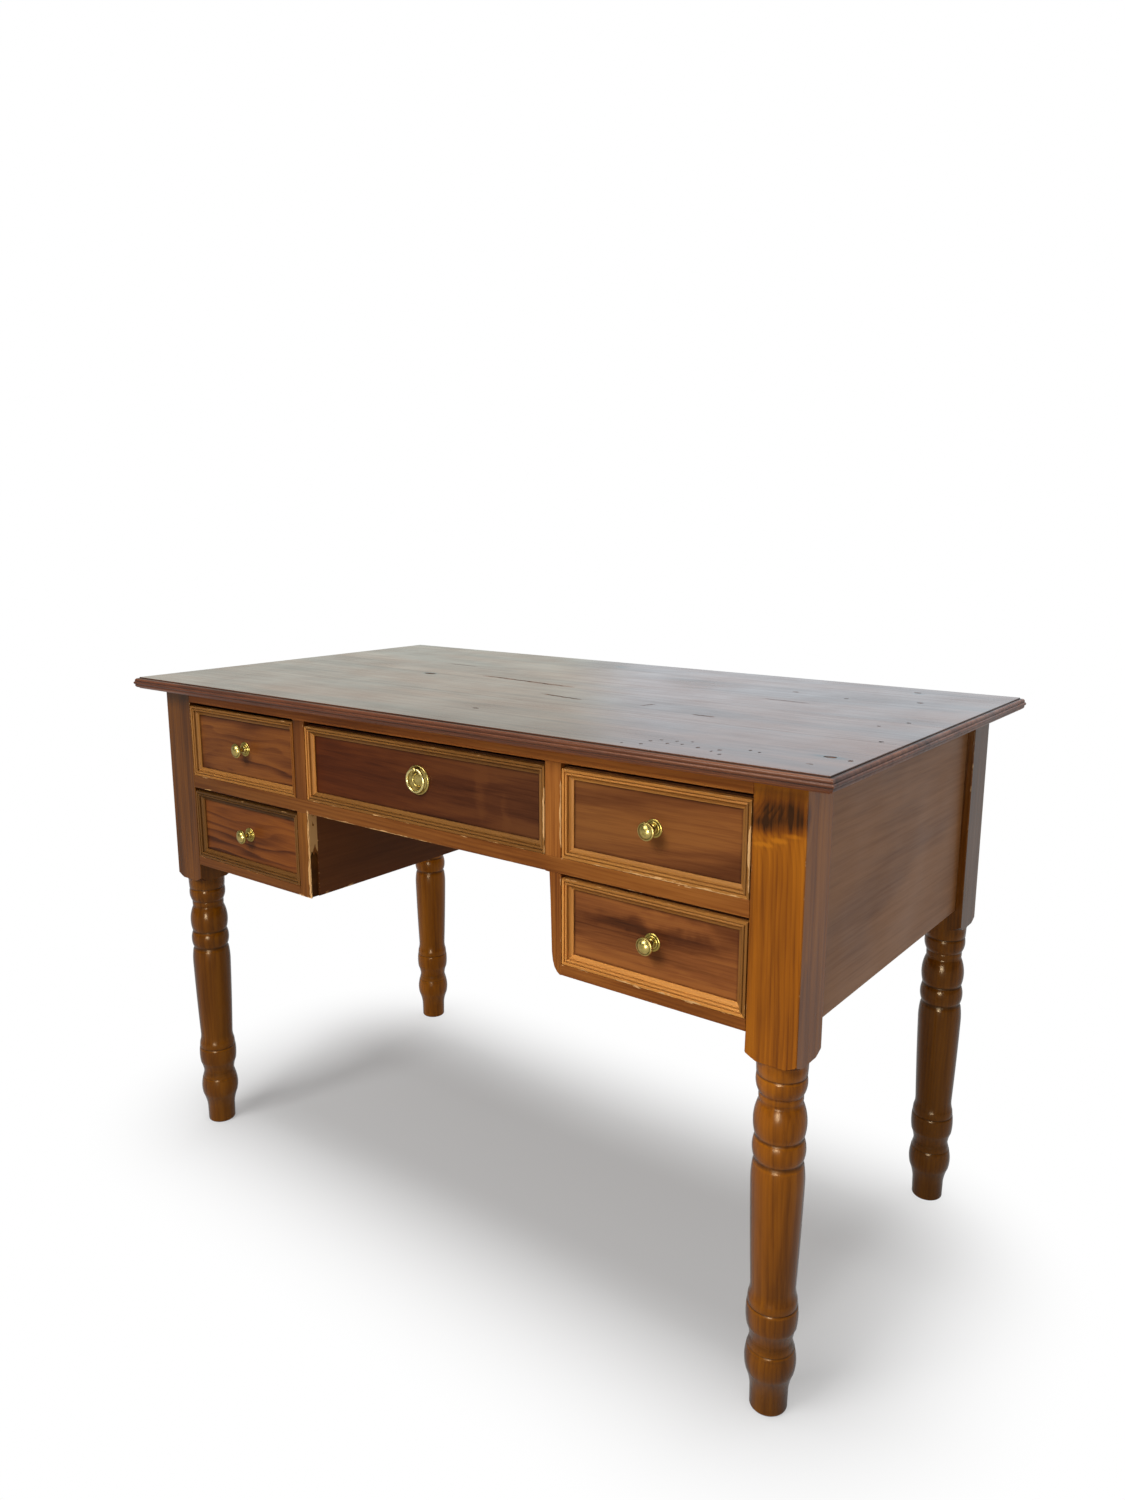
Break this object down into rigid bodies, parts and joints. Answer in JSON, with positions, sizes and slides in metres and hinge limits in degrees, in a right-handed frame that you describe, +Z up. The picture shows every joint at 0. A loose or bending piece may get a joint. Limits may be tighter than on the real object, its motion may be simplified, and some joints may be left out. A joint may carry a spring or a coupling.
{
  "type": "writing desk",
  "caption": "Kneehole writing desk on turned legs, with moulded drawers in shallow pedestals, a wide centre drawer with a ring pull, and a plank top with a reeded edge.",
  "frame": {"origin": "on the floor, under the middle of the top", "axes": "+Z up; +X to the right of someone facing the front; the drawers open towards -Y"},
  "size_m": [1.2, 0.65, 0.775],
  "materials": {
    "top_pine": "worn gloss varnish",
    "leg_pine": "gloss varnish",
    "panel_pine": "satin varnish",
    "frame_pine": "gloss varnish",
    "drawer_walnut": "gloss varnish",
    "moulding_pine": "worn gloss varnish",
    "drawer_lining": "bare",
    "brass": "polished"
  },
  "bodies": {
    "case": {"back_apron": "panel_pine", "bottom_rail_left": "frame_pine", "bottom_rail_right": "frame_pine", "divider_left": "frame_pine", "divider_right": "frame_pine", "drawer_kickers": "drawer_lining", "drawer_runners": "drawer_lining", "drawer_stops": "drawer_lining", "end_panel_left": "panel_pine", "end_panel_right": "panel_pine", "front_mid_rail": "frame_pine", "front_top_rail": "frame_pine", "kneehole_stile_left": "frame_pine", "kneehole_stile_right": "frame_pine", "leg_front_left": "leg_pine", "leg_front_right": "leg_pine", "leg_rear_left": "leg_pine", "leg_rear_right": "leg_pine", "partition_left": "panel_pine", "partition_right": "panel_pine", "pedestal_backs": "panel_pine", "top_board_front": "top_pine", "top_board_middle": "top_pine", "top_board_rear": "top_pine"},
    "upper_left_drawer": {"upper_left_back": "drawer_lining", "upper_left_bottom": "drawer_lining", "upper_left_front": "drawer_walnut", "upper_left_knob": "brass", "upper_left_moulding": "moulding_pine", "upper_left_rosette": "brass", "upper_left_sides": "drawer_lining"},
    "lower_left_drawer": {"lower_left_back": "drawer_lining", "lower_left_bottom": "drawer_lining", "lower_left_front": "drawer_walnut", "lower_left_knob": "brass", "lower_left_moulding": "moulding_pine", "lower_left_rosette": "brass", "lower_left_sides": "drawer_lining"},
    "centre_drawer": {"centre_back": "drawer_lining", "centre_bottom": "drawer_lining", "centre_front": "drawer_walnut", "centre_moulding": "moulding_pine", "centre_sides": "drawer_lining", "ring_bolt": "brass", "ring_plate": "brass"},
    "upper_right_drawer": {"upper_right_back": "drawer_lining", "upper_right_bottom": "drawer_lining", "upper_right_front": "drawer_walnut", "upper_right_knob": "brass", "upper_right_moulding": "moulding_pine", "upper_right_rosette": "brass", "upper_right_sides": "drawer_lining"},
    "lower_right_drawer": {"lower_right_back": "drawer_lining", "lower_right_bottom": "drawer_lining", "lower_right_front": "drawer_walnut", "lower_right_knob": "brass", "lower_right_moulding": "moulding_pine", "lower_right_rosette": "brass", "lower_right_sides": "drawer_lining"},
    "ring": {"pull_ring": "brass"}
  },
  "joints": [
    {"name": "upper_left_slide", "type": "slide", "parent": "case", "child": "upper_left_drawer", "axis": [0, -1, 0], "range_m": [0, 0.4]},
    {"name": "lower_left_slide", "type": "slide", "parent": "case", "child": "lower_left_drawer", "axis": [0, -1, 0], "range_m": [0, 0.4]},
    {"name": "centre_slide", "type": "slide", "parent": "case", "child": "centre_drawer", "axis": [0, -1, 0], "range_m": [0, 0.4]},
    {"name": "upper_right_slide", "type": "slide", "parent": "case", "child": "upper_right_drawer", "axis": [0, -1, 0], "range_m": [0, 0.4]},
    {"name": "lower_right_slide", "type": "slide", "parent": "case", "child": "lower_right_drawer", "axis": [0, -1, 0], "range_m": [0, 0.4]},
    {"name": "ring_hinge", "type": "hinge", "parent": "centre_drawer", "child": "ring", "pos_m": [0, -0.291, 0.69745], "axis": [-1, 0, 0], "range_deg": [0, 95]}
  ]
}
